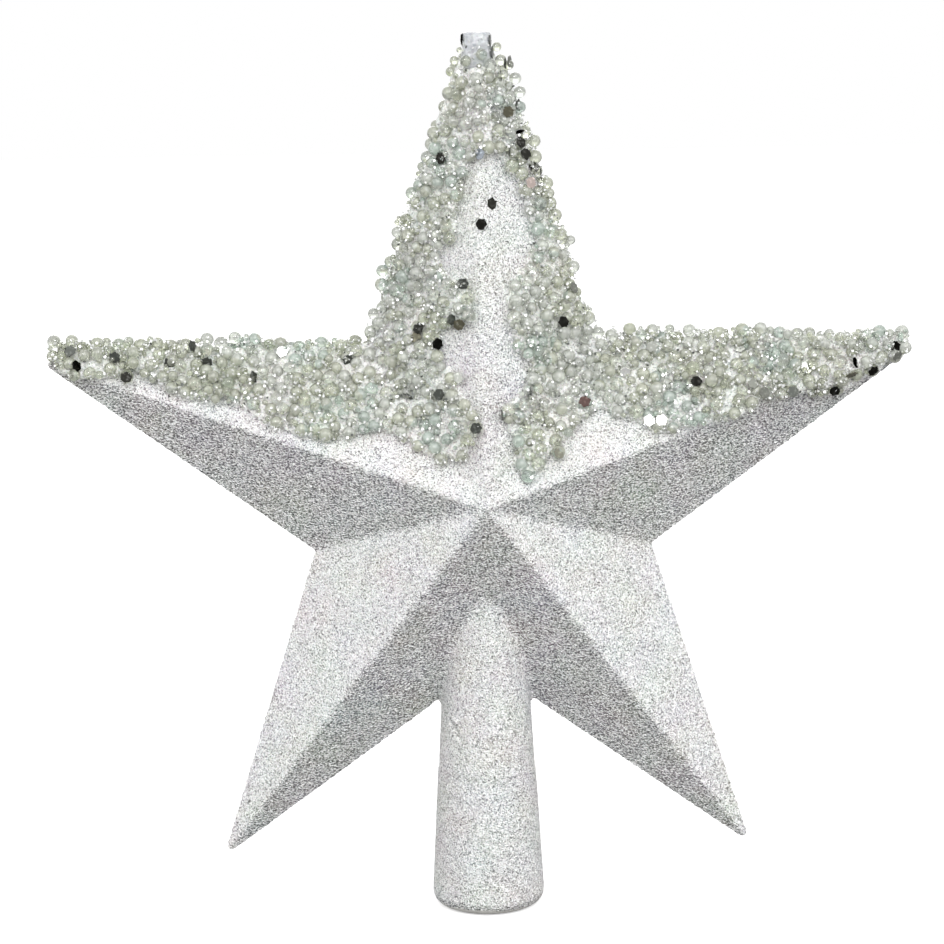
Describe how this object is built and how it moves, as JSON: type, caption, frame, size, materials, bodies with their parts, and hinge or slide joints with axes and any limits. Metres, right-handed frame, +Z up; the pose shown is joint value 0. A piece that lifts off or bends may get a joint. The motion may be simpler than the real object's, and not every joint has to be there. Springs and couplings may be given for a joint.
{
  "type": "glitter tree topper",
  "caption": "Faceted five-pointed star tree topper with a pearl glitter coat, a crust of glass beads and mirror sequins on its upper half, and a tapered open socket below.",
  "frame": {"origin": "centre of the socket's mouth, in the plane of its rim", "axes": "+Z up along the socket to the star's top point, +X to the right as seen from the front, -Y out of the front face"},
  "size_m": [0.1856, 0.0384, 0.1906],
  "materials": {
    "glitter_shell": "moulded plastic under a fine pearl and silver glitter coat",
    "glitter_socket": "moulded plastic under a fine silver glitter coat",
    "glass_beads": "pale grey-green glass beads set in clear glue",
    "crown_flakes": "clear glass beads and silver flakes set in clear glue",
    "mirror_sequin": "polished silver film"
  },
  "bodies": {
    "root": {"front_shell": "glitter_shell", "rear_shell": "glitter_shell", "socket_sleeve": "glitter_socket", "bead_crust_left": "glass_beads", "bead_crust_right": "glass_beads", "crown_cluster": "crown_flakes", "mirror_sequin_front_01": "mirror_sequin", "mirror_sequin_front_02": "mirror_sequin", "mirror_sequin_front_03": "mirror_sequin", "mirror_sequin_front_04": "mirror_sequin", "mirror_sequin_front_05": "mirror_sequin", "mirror_sequin_front_06": "mirror_sequin", "mirror_sequin_front_07": "mirror_sequin", "mirror_sequin_front_08": "mirror_sequin", "mirror_sequin_front_09": "mirror_sequin", "mirror_sequin_front_10": "mirror_sequin", "mirror_sequin_front_11": "mirror_sequin", "mirror_sequin_front_12": "mirror_sequin", "mirror_sequin_front_13": "mirror_sequin", "mirror_sequin_front_14": "mirror_sequin", "mirror_sequin_front_15": "mirror_sequin", "mirror_sequin_front_16": "mirror_sequin", "mirror_sequin_front_17": "mirror_sequin", "mirror_sequin_front_18": "mirror_sequin", "mirror_sequin_front_19": "mirror_sequin", "mirror_sequin_front_20": "mirror_sequin", "mirror_sequin_front_21": "mirror_sequin", "mirror_sequin_front_22": "mirror_sequin", "mirror_sequin_front_23": "mirror_sequin", "mirror_sequin_front_24": "mirror_sequin", "mirror_sequin_front_25": "mirror_sequin", "mirror_sequin_rear_01": "mirror_sequin", "mirror_sequin_rear_02": "mirror_sequin", "mirror_sequin_rear_03": "mirror_sequin", "mirror_sequin_rear_04": "mirror_sequin", "mirror_sequin_rear_05": "mirror_sequin", "mirror_sequin_rear_06": "mirror_sequin", "mirror_sequin_rear_07": "mirror_sequin", "mirror_sequin_rear_08": "mirror_sequin"}
  },
  "joints": []
}
